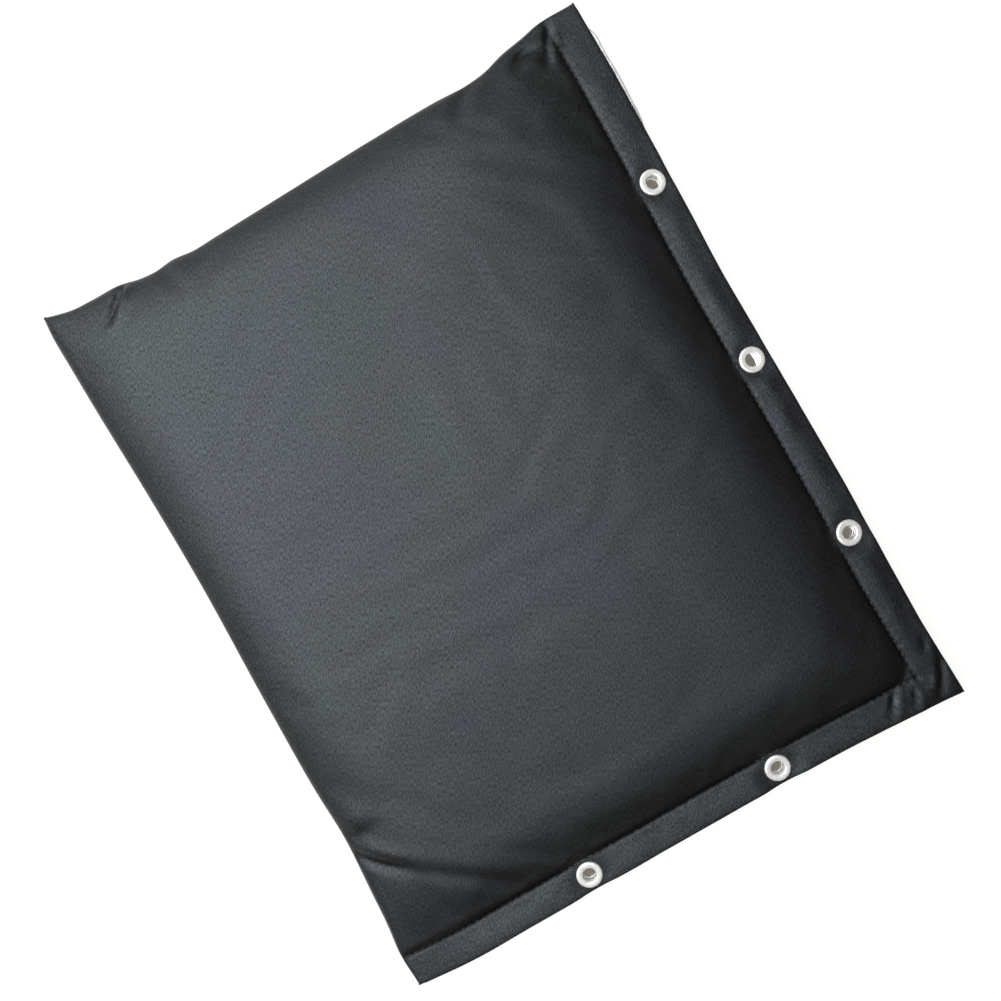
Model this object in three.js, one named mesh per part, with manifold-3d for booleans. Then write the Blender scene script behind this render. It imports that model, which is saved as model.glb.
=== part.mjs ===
// Insulated two-panel fabric pouch with open, eyeletted edges, in millimetres.
//
// Two quilted panels lie on each other. They are seamed together along the left (-X) and far (+Y)
// sides. The right (+X) and near (-Y) sides are open: there each panel ends in a flat stitched
// flange with eyelets. +Z is up, the pouch lies on its back panel, and the origin is on the ground
// at the middle of the outline's box.
//
// Every fabric layer is a thin solid between two height functions over a flat cutting pattern.
// The pattern is a plain rectangle, and drape() moves it to the outline that stuffing pulls it to.

import * as THREE from 'three';
import { mergeVertices } from 'three/addons/utils/BufferGeometryUtils.js';
import Module from 'manifold-3d';

const wasm = await Module();
wasm.setup();

// ---- Driving dimensions -------------------------------------------------------------------------

const PANEL_WIDTH = 350;
const PANEL_LENGTH = 450;
const SIDE_FLANGE_WIDTH = 20;
const NEAR_FLANGE_WIDTH = 18.5;
const FLANGE_DROOP = THREE.MathUtils.degToRad(6);

const SHELL_THICKNESS = 0.8;
const LINING_THICKNESS = 0.6;
const BATTING_THICKNESS = 5.8;
const LAYER_GAP = 0.3;
const CAVITY_HEIGHT = 9;
const FRONT_CROWN = 11.5;
const SEAM_GAP = 1.2;

const SIDE_EYELET_INSET = 10.8;
const SIDE_EYELET_PITCH = 114;
const SIDE_EYELET_MIDDLE = -2;
const NEAR_EYELET_INSET = 9.6;
const NEAR_EYELET_PITCH = 122;
const NEAR_EYELET_MIDDLE = 1;
// Eyelets are punched by hand, so each sits a little off its even place: [right, far].
const SIDE_EYELET_SHIFTS = [[-0.9, 0.8], [0, -0.6], [0, 0.8]];
const NEAR_EYELET_SHIFTS = [[0, -0.8], [0, 1]];
const EYELET_HOLE_RADIUS = 4;
const EYELET_RING_RADIUS = 7.6;
const EYELET_SEGMENTS = 14;
const FABRIC_HOLE_RADIUS = 4.8;

const THREAD_WIDTH = 0.7;
const THREAD_OFFSET = -0.8;
const THREAD_HEIGHT = 0.6;
const SEAM_THREAD_INSET = 4;
const SEAM_THREAD_HEIGHT = 0.5;

// The free corner of the front panel folds back along a line that crosses the panel in a 3-4-5
// direction, from the open right side to the open near side.
const FOLD_FROM = new THREE.Vector2(175, 175);
const FOLD_DIRECTION = new THREE.Vector2(-0.6, -0.8);
const FOLD_GAP = 0.6;

// Corners of the stuffed pouch's outline: the far left corner is pulled in and out of square.
const OUTLINE = {
  nearLeft: [-174, -225],
  nearRight: [178, -225],
  farRight: [172, 225],
  farLeft: [-178, 210],
};

// How far the stuffing pulls each side in between its corners.
const PULL_IN = { left: 3.8, far: 8.5, right: 1.8, near: 2.5 };

// ---- Levels that follow from them -----------------------------------------------------------------

const HALF_WIDTH = PANEL_WIDTH / 2;
const HALF_LENGTH = PANEL_LENGTH / 2;
const SIDE_STITCH_X = HALF_WIDTH - SIDE_FLANGE_WIDTH;
const NEAR_STITCH_Y = NEAR_FLANGE_WIDTH - HALF_LENGTH;

const BACK_LINING_TOP = SHELL_THICKNESS + BATTING_THICKNESS + 2 * LAYER_GAP + LINING_THICKNESS;
const FRONT_LINING_BOTTOM = BACK_LINING_TOP + CAVITY_HEIGHT;
const SEAM_Z = (BACK_LINING_TOP + FRONT_LINING_BOTTOM) / 2;
const FRONT_FLANGE_TOP = FRONT_LINING_BOTTOM + LINING_THICKNESS + LAYER_GAP + SHELL_THICKNESS;
const BACK_FLANGE_BOTTOM = BACK_LINING_TOP - LINING_THICKNESS - LAYER_GAP - SHELL_THICKNESS;

// ---- Colours --------------------------------------------------------------------------------------

const clothMaterial = new THREE.MeshStandardMaterial({ color: 0x2c3033, roughness: 0.85, metalness: 0 });
const battingMaterial = new THREE.MeshStandardMaterial({ color: 0xd9d6cc, roughness: 1, metalness: 0 });
const foilMaterial = new THREE.MeshStandardMaterial({ color: 0xc3c6c9, roughness: 0.35, metalness: 0.8 });
const threadMaterial = new THREE.MeshStandardMaterial({ color: 0x17191b, roughness: 0.8, metalness: 0 });
const nickelMaterial = new THREE.MeshStandardMaterial({ color: 0xd3d2cd, roughness: 0.25, metalness: 1 });

// ---- Shape functions over the cutting pattern --------------------------------------------------------

const clamp01 = (t) => Math.min(1, Math.max(0, t));
const smooth = (t) => clamp01(t) ** 2 * (3 - 2 * clamp01(t));
const puff = (t) => Math.sqrt(1 - (1 - clamp01(t)) ** 2);
const mix = (a, b, t) => a + (b - a) * t;

// 0 along the two seamed rims and 1 once the panels are a full cavity apart.
const RIM_REACH = 50;
function openness(x, y) {
  return smooth((x + HALF_WIDTH) / RIM_REACH) * smooth((HALF_LENGTH - y) / RIM_REACH);
}

// 0 on every seam and stitch line, 1 in the middle of the quilted field.
function fullness(x, y, rimRadius, stitchRadius) {
  return puff((x + HALF_WIDTH) / rimRadius) * puff((HALF_LENGTH - y) / rimRadius)
    * puff((SIDE_STITCH_X - x) / stitchRadius) * puff((y - NEAR_STITCH_Y) / stitchRadius);
}

function flangeDrop(x, y) {
  return Math.tan(FLANGE_DROOP) * Math.max(0, x - SIDE_STITCH_X, NEAR_STITCH_Y - y);
}

const frontLiningBottom = (x, y) => mix(SEAM_Z + SEAM_GAP / 2, FRONT_LINING_BOTTOM, openness(x, y))
  - flangeDrop(x, y) * openness(x, y);
const frontLiningTop = (x, y) => frontLiningBottom(x, y) + LINING_THICKNESS;
const frontShellBottom = (x, y) => frontLiningTop(x, y) + LAYER_GAP + FRONT_CROWN * fullness(x, y, 60, 68);
const frontShellTop = (x, y) => frontShellBottom(x, y) + SHELL_THICKNESS;
const frontBattingBottom = (x, y) => frontLiningTop(x, y) + LAYER_GAP;
const frontBattingTop = (x, y) => frontShellBottom(x, y) - LAYER_GAP;

const backLiningTop = (x, y) => mix(SEAM_Z - SEAM_GAP / 2, BACK_LINING_TOP, openness(x, y))
  - flangeDrop(x, y) * openness(x, y);
const backLiningBottom = (x, y) => backLiningTop(x, y) - LINING_THICKNESS;
const BACK_DEPTH = BACK_LINING_TOP - LINING_THICKNESS - LAYER_GAP - SHELL_THICKNESS;
const backShellTop = (x, y) => backLiningBottom(x, y) - LAYER_GAP
  - (BACK_DEPTH + (backLiningTop(x, y) - BACK_LINING_TOP)) * fullness(x, y, 34, 30);
const backShellBottom = (x, y) => backShellTop(x, y) - SHELL_THICKNESS;
const backBattingTop = (x, y) => backLiningBottom(x, y) - LAYER_GAP;
const backBattingBottom = (x, y) => backShellTop(x, y) + LAYER_GAP;

// Where a point of the cutting pattern lies on the finished pouch.
function drape(x, y) {
  const s = (x + HALF_WIDTH) / PANEL_WIDTH;
  const t = (y + HALF_LENGTH) / PANEL_LENGTH;
  const corner = (axis) => mix(
    mix(OUTLINE.nearLeft[axis], OUTLINE.nearRight[axis], s),
    mix(OUTLINE.farLeft[axis], OUTLINE.farRight[axis], s),
    t,
  );
  const left = PULL_IN.left * smooth(t / 0.2) * smooth((1 - t) / 0.3) * (1 - s) ** 2;
  const far = PULL_IN.far * smooth((s - 0.02) / 0.16) * smooth((0.94 - s) / 0.16) * t ** 2;
  const right = PULL_IN.right * Math.sin(Math.PI * t) * s ** 2;
  const near = PULL_IN.near * Math.sin(Math.PI * s) * (1 - t) ** 2;
  return [corner(0) + left - right, corner(1) + near - far];
}

// ---- Solids ---------------------------------------------------------------------------------------

// Grid lines of the cutting pattern, closer together where the layers curve.
const BATTING_RIM = 8;
const BATTING_STITCH = 3;
const GRID_X = [
  ...[0, 4, BATTING_RIM, 20, 40, 70, 135, 220, 280, 310, 324].map((d) => d - HALF_WIDTH),
  SIDE_STITCH_X - BATTING_STITCH,
  SIDE_STITCH_X,
  HALF_WIDTH,
];
const GRID_Y = [
  -HALF_LENGTH,
  NEAR_STITCH_Y,
  NEAR_STITCH_Y + BATTING_STITCH,
  ...[418, 404, 372, 305, 205, 115, 60, 30, 15, BATTING_RIM, 0].map((d) => HALF_LENGTH - d),
];

const between = (lines, low, high) => lines.filter((v) => v >= low && v <= high);

// A closed solid between two height functions, over the rectangle that the grid lines span.
function layer(lines, bottom, top) {
  const [xs, ys] = lines;
  const positions = [];
  const indices = [];
  const rows = ys.length;
  const count = xs.length * rows;
  for (const height of [bottom, top]) {
    for (const x of xs) {
      for (const y of ys) {
        positions.push(...drape(x, y), height(x, y));
      }
    }
  }
  const at = (i, j) => i * rows + j;
  for (let i = 0; i < xs.length - 1; i += 1) {
    for (let j = 0; j < rows - 1; j += 1) {
      const a = at(i, j);
      const b = at(i + 1, j);
      const c = at(i + 1, j + 1);
      const d = at(i, j + 1);
      indices.push(a, d, b, b, d, c);
      indices.push(a + count, b + count, d + count, b + count, c + count, d + count);
    }
  }
  const rim = [];
  for (let i = 0; i < xs.length - 1; i += 1) {
    rim.push([at(i, 0), at(i + 1, 0)], [at(i + 1, rows - 1), at(i, rows - 1)]);
  }
  for (let j = 0; j < rows - 1; j += 1) {
    rim.push([at(xs.length - 1, j), at(xs.length - 1, j + 1)], [at(0, j + 1), at(0, j)]);
  }
  for (const [p, q] of rim) {
    indices.push(p, q, p + count, q, q + count, p + count);
  }
  const geometry = new THREE.BufferGeometry();
  geometry.setAttribute('position', new THREE.Float32BufferAttribute(positions, 3));
  geometry.setIndex(indices);
  return toSolid(geometry);
}

function toSolid(geometry) {
  const bare = geometry.clone();
  bare.deleteAttribute('normal');
  bare.deleteAttribute('uv');
  const merged = mergeVertices(bare, 1e-4);
  return new wasm.Manifold(new wasm.Mesh({
    numProp: 3,
    vertProperties: merged.attributes.position.array,
    triVerts: new Uint32Array(merged.index.array),
  }));
}

function toGeometry(solid) {
  const mesh = solid.getMesh();
  const geometry = new THREE.BufferGeometry();
  geometry.setAttribute('position', new THREE.Float32BufferAttribute(mesh.vertProperties, 3));
  geometry.setIndex(new THREE.Uint32BufferAttribute(mesh.triVerts, 1));
  geometry.computeVertexNormals();
  return geometry;
}

// A block that covers everything on the free corner's side of a line parallel to the fold.
function cornerBlock(offset) {
  const size = 900;
  const block = new THREE.BoxGeometry(size, size, size);
  block.translate(size / 2 + offset, 0, 0);
  block.rotateZ(Math.atan2(FOLD_DIRECTION.x, -FOLD_DIRECTION.y));
  block.translate(FOLD_FROM.x, FOLD_FROM.y, 0);
  return toSolid(block);
}

const sewnSide = (solid) => solid.subtract(cornerBlock(-FOLD_GAP / 2));
const freeCorner = (solid) => solid.intersect(cornerBlock(FOLD_GAP / 2));

// ---- Eyelets -----------------------------------------------------------------------------------------

// Three eyelets on the long open side, then two on the short one. tilt turns +Z to the flange's normal.
const eyeletPlaces = [
  ...SIDE_EYELET_SHIFTS.map(([right, far], i) => ({
    x: HALF_WIDTH - SIDE_EYELET_INSET + right,
    y: SIDE_EYELET_MIDDLE + (i - 1) * SIDE_EYELET_PITCH + far,
    tilt: new THREE.Euler(0, FLANGE_DROOP, 0),
  })),
  ...NEAR_EYELET_SHIFTS.map(([right, far], i) => ({
    x: NEAR_EYELET_MIDDLE + (i - 0.5) * NEAR_EYELET_PITCH + right,
    y: NEAR_EYELET_INSET - HALF_LENGTH + far,
    tilt: new THREE.Euler(FLANGE_DROOP, 0, 0),
  })),
];

const lathe = (points) => new THREE.LatheGeometry(
  [...points, points[0]].map(([r, z]) => new THREE.Vector2(r, z)),
  EYELET_SEGMENTS,
).rotateX(Math.PI / 2);

// Heights are from the fabric's outer face; the barrel passes down through the layers and the
// washer, and its end is rolled out under the washer.
const FABRIC_STACK = SHELL_THICKNESS + LAYER_GAP + LINING_THICKNESS;
const WASHER_TOP = -FABRIC_STACK - LAYER_GAP;
const WASHER_THICKNESS = 0.5;
const ROLL_TOP = WASHER_TOP - WASHER_THICKNESS - LAYER_GAP;
const ROLL_BOTTOM = ROLL_TOP - 0.5;
const BARREL_RADIUS = 4.4;
const RING_CREST = 1.3;
const WASHER_HOLE_RADIUS = 4.8;
const WASHER_RADIUS = 7.2;

const eyeletGeometry = lathe([
  [EYELET_RING_RADIUS, LAYER_GAP],
  [7.4, 0.9],
  [6.5, RING_CREST],
  [5, RING_CREST],
  [EYELET_HOLE_RADIUS, 0.6],
  [EYELET_HOLE_RADIUS, ROLL_BOTTOM],
  [5.2, ROLL_BOTTOM],
  [5.2, ROLL_TOP],
  [BARREL_RADIUS, ROLL_TOP],
  [BARREL_RADIUS, LAYER_GAP],
]);

const washerGeometry = lathe([
  [WASHER_HOLE_RADIUS, WASHER_TOP],
  [WASHER_HOLE_RADIUS, WASHER_TOP - WASHER_THICKNESS],
  [WASHER_RADIUS, WASHER_TOP - WASHER_THICKNESS],
  [WASHER_RADIUS, WASHER_TOP],
]);

// Holes through the fabric layers of the panel whose flange face is at the given height.
function pierced(solid, flangeFace) {
  return eyeletPlaces.reduce((rest, { x, y, tilt }) => {
    const hole = new THREE.CylinderGeometry(FABRIC_HOLE_RADIUS, FABRIC_HOLE_RADIUS, 9, EYELET_SEGMENTS);
    hole.rotateX(Math.PI / 2);
    hole.applyMatrix4(new THREE.Matrix4().makeRotationFromEuler(tilt));
    hole.translate(...drape(x, y), flangeFace - flangeDrop(x, y));
    return rest.subtract(toSolid(hole));
  }, solid);
}

// ---- Assembly ------------------------------------------------------------------------------------------

const pouch = new THREE.Group();

function addMesh(parent, name, geometry, material) {
  const mesh = new THREE.Mesh(geometry, material);
  mesh.name = name;
  parent.add(mesh);
  return mesh;
}

const addSolid = (name, solid, material) => addMesh(pouch, name, toGeometry(solid), material);

const PANEL_GRID = [GRID_X, GRID_Y];
const BATTING_GRID = [
  between(GRID_X, -HALF_WIDTH + BATTING_RIM, SIDE_STITCH_X - BATTING_STITCH),
  between(GRID_Y, NEAR_STITCH_Y + BATTING_STITCH, HALF_LENGTH - BATTING_RIM),
];

// Back panel.
const backShell = pierced(layer(PANEL_GRID, backShellBottom, backShellTop), BACK_FLANGE_BOTTOM);
const backLining = pierced(layer(PANEL_GRID, backLiningBottom, backLiningTop), BACK_FLANGE_BOTTOM);
addSolid('back_shell', backShell, clothMaterial);
addSolid('back_batting', layer(BATTING_GRID, backBattingBottom, backBattingTop), battingMaterial);
addSolid('back_lining', backLining, foilMaterial);

// Front panel, parted at the fold.
const frontShell = pierced(layer(PANEL_GRID, frontShellBottom, frontShellTop), FRONT_FLANGE_TOP);
const frontLining = pierced(layer(PANEL_GRID, frontLiningBottom, frontLiningTop), FRONT_FLANGE_TOP);
const frontLayers = [
  ['shell', frontShell, clothMaterial],
  ['batting', layer(BATTING_GRID, frontBattingBottom, frontBattingTop), battingMaterial],
  ['lining', frontLining, foilMaterial],
];
for (const [name, solid, material] of frontLayers) {
  addSolid(`front_${name}_sewn_side`, sewnSide(solid), material);
  addSolid(`front_${name}_free_corner`, freeCorner(solid), material);
}

// Topstitching: a line of thread at the flange's inner edge, along each quilted field.
const SIDE_THREAD_X = [SIDE_STITCH_X + THREAD_OFFSET, SIDE_STITCH_X + THREAD_OFFSET + THREAD_WIDTH];
const NEAR_THREAD_Y = [NEAR_STITCH_Y - THREAD_OFFSET - THREAD_WIDTH, NEAR_STITCH_Y - THREAD_OFFSET];
const sideThreadGrid = [SIDE_THREAD_X, between(GRID_Y, NEAR_STITCH_Y, HALF_LENGTH)];
const nearThreadGrid = [between(GRID_X, -HALF_WIDTH, SIDE_THREAD_X[0] - LAYER_GAP), NEAR_THREAD_Y];
const frontThreadBottom = (x, y) => frontShellTop(x, y) + LAYER_GAP;
const frontThreadTop = (x, y) => frontThreadBottom(x, y) + THREAD_HEIGHT;
const backThreadTop = (x, y) => backShellBottom(x, y) - LAYER_GAP;
const backThreadBottom = (x, y) => backThreadTop(x, y) - THREAD_HEIGHT;

for (const [name, grid] of [['side', sideThreadGrid], ['near', nearThreadGrid]]) {
  addSolid(`back_${name}_topstitch`, layer(grid, backThreadBottom, backThreadTop), threadMaterial);
  const thread = layer(grid, frontThreadBottom, frontThreadTop);
  addSolid(`front_${name}_topstitch_sewn_end`, sewnSide(thread), threadMaterial);
  addSolid(`front_${name}_topstitch_free`, freeCorner(thread), threadMaterial);
}

// The seam's own thread: an L between the two linings, just inside the closed rims.
function closedSeam() {
  const left = -HALF_WIDTH + SEAM_THREAD_INSET;
  const far = HALF_LENGTH - SEAM_THREAD_INSET;
  const bottom = () => SEAM_Z - SEAM_THREAD_HEIGHT / 2;
  const top = () => SEAM_Z + SEAM_THREAD_HEIGHT / 2;
  const along = [[left, left + THREAD_WIDTH], [...between(GRID_Y, -HALF_LENGTH, far - THREAD_WIDTH), far]];
  const across = [[left, ...between(GRID_X, left + THREAD_WIDTH, HALF_WIDTH)], [far - THREAD_WIDTH, far]];
  return layer(along, bottom, top).add(layer(across, bottom, top));
}
addSolid('closed_seam_stitching', closedSeam(), threadMaterial);

// Eyelets with their washers; the back panel's face down.
eyeletPlaces.forEach(({ x, y, tilt }, index) => {
  const [px, py] = drape(x, y);
  const panels = [
    ['front', FRONT_FLANGE_TOP - flangeDrop(x, y), 0],
    ['back', BACK_FLANGE_BOTTOM - flangeDrop(x, y), Math.PI],
  ];
  for (const [panel, z, flip] of panels) {
    const place = new THREE.Group();
    place.position.set(px, py, z);
    place.rotation.copy(tilt);
    const side = new THREE.Group();
    side.rotation.x = flip;
    place.add(side);
    addMesh(side, `${panel}_eyelet_${index + 1}`, eyeletGeometry, nickelMaterial);
    addMesh(side, `${panel}_washer_${index + 1}`, washerGeometry, nickelMaterial);
    pouch.add(place);
  }
});

export default pouch;
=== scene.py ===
"""An insulated two-panel cover pouch of black coated cloth, lying on its back panel.

Each panel is an outer cloth, a layer of wadding and a foil-faced lining. The panels are seamed
along the left (-X) and far (+Y) sides. Their right (+X) and near (-Y) sides are open, and end in
flat topstitched flanges with nickel eyelets.

Lengths are in millimetres until a mesh is made. x and y are a point of the flat cutting pattern,
and px and py are where that point lies on the finished pouch, seen from above.
"""

import math

import bmesh
import bpy
import numpy as np
from mathutils import Matrix, Vector, noise


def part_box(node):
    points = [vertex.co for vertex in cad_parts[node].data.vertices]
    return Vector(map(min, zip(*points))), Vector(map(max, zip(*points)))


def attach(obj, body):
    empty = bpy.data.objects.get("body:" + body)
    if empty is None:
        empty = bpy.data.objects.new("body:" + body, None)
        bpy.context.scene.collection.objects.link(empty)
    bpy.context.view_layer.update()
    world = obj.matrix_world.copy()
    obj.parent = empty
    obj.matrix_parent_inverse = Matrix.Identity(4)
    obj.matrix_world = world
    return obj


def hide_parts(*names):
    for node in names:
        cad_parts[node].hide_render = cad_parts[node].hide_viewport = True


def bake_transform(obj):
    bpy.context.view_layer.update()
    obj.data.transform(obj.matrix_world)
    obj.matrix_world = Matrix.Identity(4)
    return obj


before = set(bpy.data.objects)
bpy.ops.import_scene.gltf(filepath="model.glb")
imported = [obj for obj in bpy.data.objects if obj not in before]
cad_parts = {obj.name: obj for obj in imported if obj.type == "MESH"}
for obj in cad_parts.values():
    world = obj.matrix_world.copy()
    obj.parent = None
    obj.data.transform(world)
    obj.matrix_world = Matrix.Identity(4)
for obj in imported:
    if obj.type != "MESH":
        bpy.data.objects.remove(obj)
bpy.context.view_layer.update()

MM = 0.001
EYELETS = range(1, 6)

# ---- Sizes, in mm --------------------------------------------------------------------------------

# The cutting pattern, and the stitch lines where its flanges begin.
HALF_WIDTH = 175
HALF_LENGTH = 225
SIDE_STITCH = 155
NEAR_STITCH = -206.5

# Heights above the ground.
SEAM_Z = 12.3
FRONT_FLANGE_Z = 18.5
FRONT_FLANGE_DIP = 0.7
FRONT_CROWN = 12.2
FRONT_LINING_Z = 17.2
BACK_LINING_Z = 7.4
BACK_FLANGE_Z = 6.1
RING_DROP = 0.99
GROUND_GAP = 0.05

CLOTH_THICKNESS = 0.45
LINING_THICKNESS = 0.35
WADDING_GAP = 0.3
STITCH_PITCH = 4.3
HOLE_RADIUS = 4.75

# The open edges roll round to the inside, and run on under the panel.
EDGE_ROLL = 0.85
EDGE_UNDER = 0.7

# The seamed rims tuck in between the panels, and the panels part over RIM_REACH from them.
RIM_TUCK = 1.6
RIM_SPREAD = 1.0
RIM_REACH = 50

# How far inside the cloth's edges the linings and the closed seam's thread lie.
LINING_RIM = 2.5
LINING_INSET = 0.6
SEAM_INSET = 4


# ---- Shape functions -----------------------------------------------------------------------------


def clamp01(t):
    return np.clip(t, 0.0, 1.0)


def smooth(t):
    t = clamp01(t)
    return t * t * (3 - 2 * t)


def puff(t):
    """A quarter circle: rises straight up from 0 and is level at 1."""
    return np.sqrt(1 - (1 - clamp01(t)) ** 2)


def mix(a, b, t):
    return a + (b - a) * t


def bump(t):
    return np.exp(-t * t)


def curve(points):
    """A smooth function through a few (position, value) points."""
    at, value = np.array(points, float).T
    slope = np.gradient(value, at)

    def follow(t):
        t = np.clip(t, at[0], at[-1])
        i = np.clip(np.searchsorted(at, t, side="right") - 1, 0, len(at) - 2)
        span = at[i + 1] - at[i]
        u = (t - at[i]) / span
        start = (2 * u**3 - 3 * u**2 + 1) * value[i] + (u**3 - 2 * u**2 + u) * span * slope[i]
        end = (3 * u**2 - 2 * u**3) * value[i + 1] + (u**3 - u**2) * span * slope[i + 1]
        return start + end

    return follow


def ripple(x, y, size, seed=0.0):
    """Smooth noise from -1 to 1 with lumps of about the given size."""
    return np.array([noise.noise(Vector((a / size, b / size, seed))) for a, b in zip(x, y)])


# ---- Outline of the finished pouch, in plan ------------------------------------------------------

NEAR_LEFT, NEAR_RIGHT = (-174.2, -225.0), (179.6, -225.8)
FAR_LEFT, FAR_RIGHT = (-178.5, 211.5), (172.6, 225.0)

# Each side as (place along it, place across it).
left_side = curve([
    (-225, -174.2), (-205, -174.9), (-189, -173.1), (-165, -171.9), (-129, -170.5), (-101, -172.1),
    (-45, -172.9), (43, -173.1), (99, -175.1), (155, -177.8), (180, -178.7), (203, -179.2),
    (211.5, -178.5),
])
right_side = curve([
    (-226, 179.6), (-205, 178.6), (-181, 177.1), (-149, 175.9), (-85, 175.4), (-37, 174.4),
    (11, 173.1), (43, 172.1), (99, 172.6), (225, 172.6),
])
far_side = curve([
    (-178.5, 211.5), (-172, 209.8), (-163, 207.8), (-148, 207.1), (-131, 207.0), (-120, 204.6),
    (-110, 203.9), (-98, 205.2), (-86, 204.1), (-70, 204.9), (-30, 207.1), (34, 210.6), (74, 212.1),
    (98, 212.1), (108, 213.4), (122, 217.6), (138, 220.7), (148, 223.0), (172.6, 225.0),
])
near_side = curve([
    (-174.2, -225.0), (-158, -225.6), (-100, -224.6), (-22, -223.3), (66, -222.1), (106, -222.4),
    (146, -223.9), (179.6, -225.8),
])


def plan(x, y):
    """Where a point of the cutting pattern lies on the finished pouch, seen from above."""
    s = (x + HALF_WIDTH) / (2 * HALF_WIDTH)
    t = (y + HALF_LENGTH) / (2 * HALF_LENGTH)

    def corners(axis, s, t):
        near = mix(NEAR_LEFT[axis], NEAR_RIGHT[axis], s)
        far = mix(FAR_LEFT[axis], FAR_RIGHT[axis], s)
        return mix(near, far, t)

    zero, one = np.zeros_like(s), np.ones_like(s)
    left = left_side(corners(1, zero, t)) - corners(0, zero, t) - RIM_SPREAD * smooth(12 * t)
    right = right_side(corners(1, one, t)) - corners(0, one, t) - EDGE_ROLL
    near = near_side(corners(0, s, zero)) - corners(1, s, zero) + EDGE_ROLL
    far = far_side(corners(0, s, one)) - corners(1, s, one) + RIM_SPREAD * smooth(12 * (1 - s))
    px = corners(0, s, t) + left * (1 - s) ** 5 + right * s**3
    py = corners(1, s, t) + near * (1 - t) ** 3 + far * t**6
    return px, py


def unplan(px, py):
    """The pattern point that lies at a point in plan."""
    x, y = np.array([float(px)]), np.array([float(py)])
    for _ in range(12):
        qx, qy = plan(x, y)
        x, y = x + px - qx, y + py - qy
    return float(x[0]), float(y[0])


# ---- Where the eyelets are, from the frame -------------------------------------------------------


def node_centre(name):
    low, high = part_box(name)
    return np.array((low + high) / 2) / MM


def flange_tilt(place):
    """The slope that an eyelet's ring presses the flange to: outward and down."""
    slope = math.tan(math.radians(6))
    return (slope, 0.0) if place[0] > SIDE_STITCH else (0.0, -slope)


EYELET_PLANS = [node_centre(f"front_eyelet_{i}") for i in EYELETS]
EYELET_PATTERN = [unplan(p[0], p[1]) for p in EYELET_PLANS]

# ---- Heights -------------------------------------------------------------------------------------


def openness(x, y):
    """0 along the two seamed rims, 1 where the panels are a full cavity apart."""
    return smooth((x + HALF_WIDTH) / RIM_REACH) * smooth((HALF_LENGTH - y) / RIM_REACH)


def seam_level(x, y, sign):
    """An outer cloth's height along the seamed rims, where all the layers come together."""
    inside = np.minimum(x + HALF_WIDTH, HALF_LENGTH - y)
    return SEAM_Z + sign * (0.2 + 0.95 * puff(inside / 2.5))


def arch(t):
    """0 at 0, level at 1, and steepest at its foot."""
    return 1 - (1 - clamp01(t)) ** 2


def swell(inside, wide, tight, share):
    """0 at a seam and 1 in the field: a long slope, a shorter one and a tight roll at its foot."""
    foot = 0.8 * arch(inside / tight) + 0.2 * puff(inside / 5)
    return share * arch(inside / wide) + (1 - share) * foot


def soft_least(a, b):
    """The lesser of two shares, with the crossing rounded off."""
    return clamp01(1 - np.cbrt((1 - a) ** 3 + (1 - b) ** 3))


def rims_swell(x, y, rim):
    return puff((x + HALF_WIDTH) / rim) * puff((HALF_LENGTH - y) / rim)


def flange_depth(x, y):
    """How far a point is outside the stitch lines."""
    return np.maximum(0, np.maximum(x - SIDE_STITCH, NEAR_STITCH - y))


def near_eyelet(x, y, inner, outer):
    """1 within inner of an eyelet's middle, 0 beyond outer."""
    held = np.zeros_like(x)
    for ex, ey in EYELET_PATTERN:
        r = np.hypot(x - ex, y - ey)
        held = np.maximum(held, 1 - smooth((r - inner) / (outer - inner)))
    return held


def eyelet_plane(px, py, level):
    """The height of the nearest eyelet's ring plane over points in plan."""
    best = np.full_like(px, np.inf)
    height = np.zeros_like(px)
    for centre in EYELET_PLANS:
        slope = flange_tilt(centre)
        r = np.hypot(px - centre[0], py - centre[1])
        plane = level - slope[0] * (px - centre[0]) - slope[1] * (py - centre[1])
        height = np.where(r < best, plane, height)
        best = np.minimum(best, r)
    return height


def stitch_marks(x, y, seed):
    """The groove that the topstitching pulls, with a pucker at every stitch."""
    total = np.zeros_like(x)
    lines = [
        (x - SIDE_STITCH, y, y > NEAR_STITCH - 2),
        (NEAR_STITCH - y, x, x < SIDE_STITCH + 2),
    ]
    for across, along, on in lines:
        between = np.abs(np.sin(math.pi * along / STITCH_PITCH))
        wander = 0.45 * ripple(along, along * 0 + seed, 9) + 0.5 * between
        a = across - wander
        lift = ripple(along, across * 0.35, 3.4, seed + 7)
        groove = -(0.5 - 0.25 * between) * bump(a / 1.2)
        pucker = 0.42 * lift * np.exp(-np.abs(a) / 3.2)
        total += np.where(on, groove + pucker, 0)
    return total


def crease(px, py, points, depth, width, lip):
    """A fold line through a few points in plan: a narrow valley, with a ridge on its left."""
    best = np.full_like(px, np.inf)
    side = np.zeros_like(px)
    along = np.zeros_like(px)
    lengths = [math.dist(a, b) for a, b in zip(points, points[1:])]
    start = 0.0
    for (ax, ay), (bx, by), length in zip(points, points[1:], lengths):
        ux, uy = (bx - ax) / length, (by - ay) / length
        t = np.clip((px - ax) * ux + (py - ay) * uy, 0, length)
        dx, dy = px - ax - ux * t, py - ay - uy * t
        r = np.hypot(dx, dy)
        nearer = r < best
        best = np.where(nearer, r, best)
        side = np.where(nearer, np.sign(ux * dy - uy * dx), side)
        along = np.where(nearer, (start + t) / sum(lengths), along)
        start += length
    taper = np.sqrt(np.clip(np.sin(math.pi * np.clip(along, 0.04, 0.96)), 0, 1))
    signed = best * side
    valley = -bump(best / width)
    ridge = lip * bump((signed - 2.1 * width) / (1.3 * width))
    return depth * taper * (valley + ridge)


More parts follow.
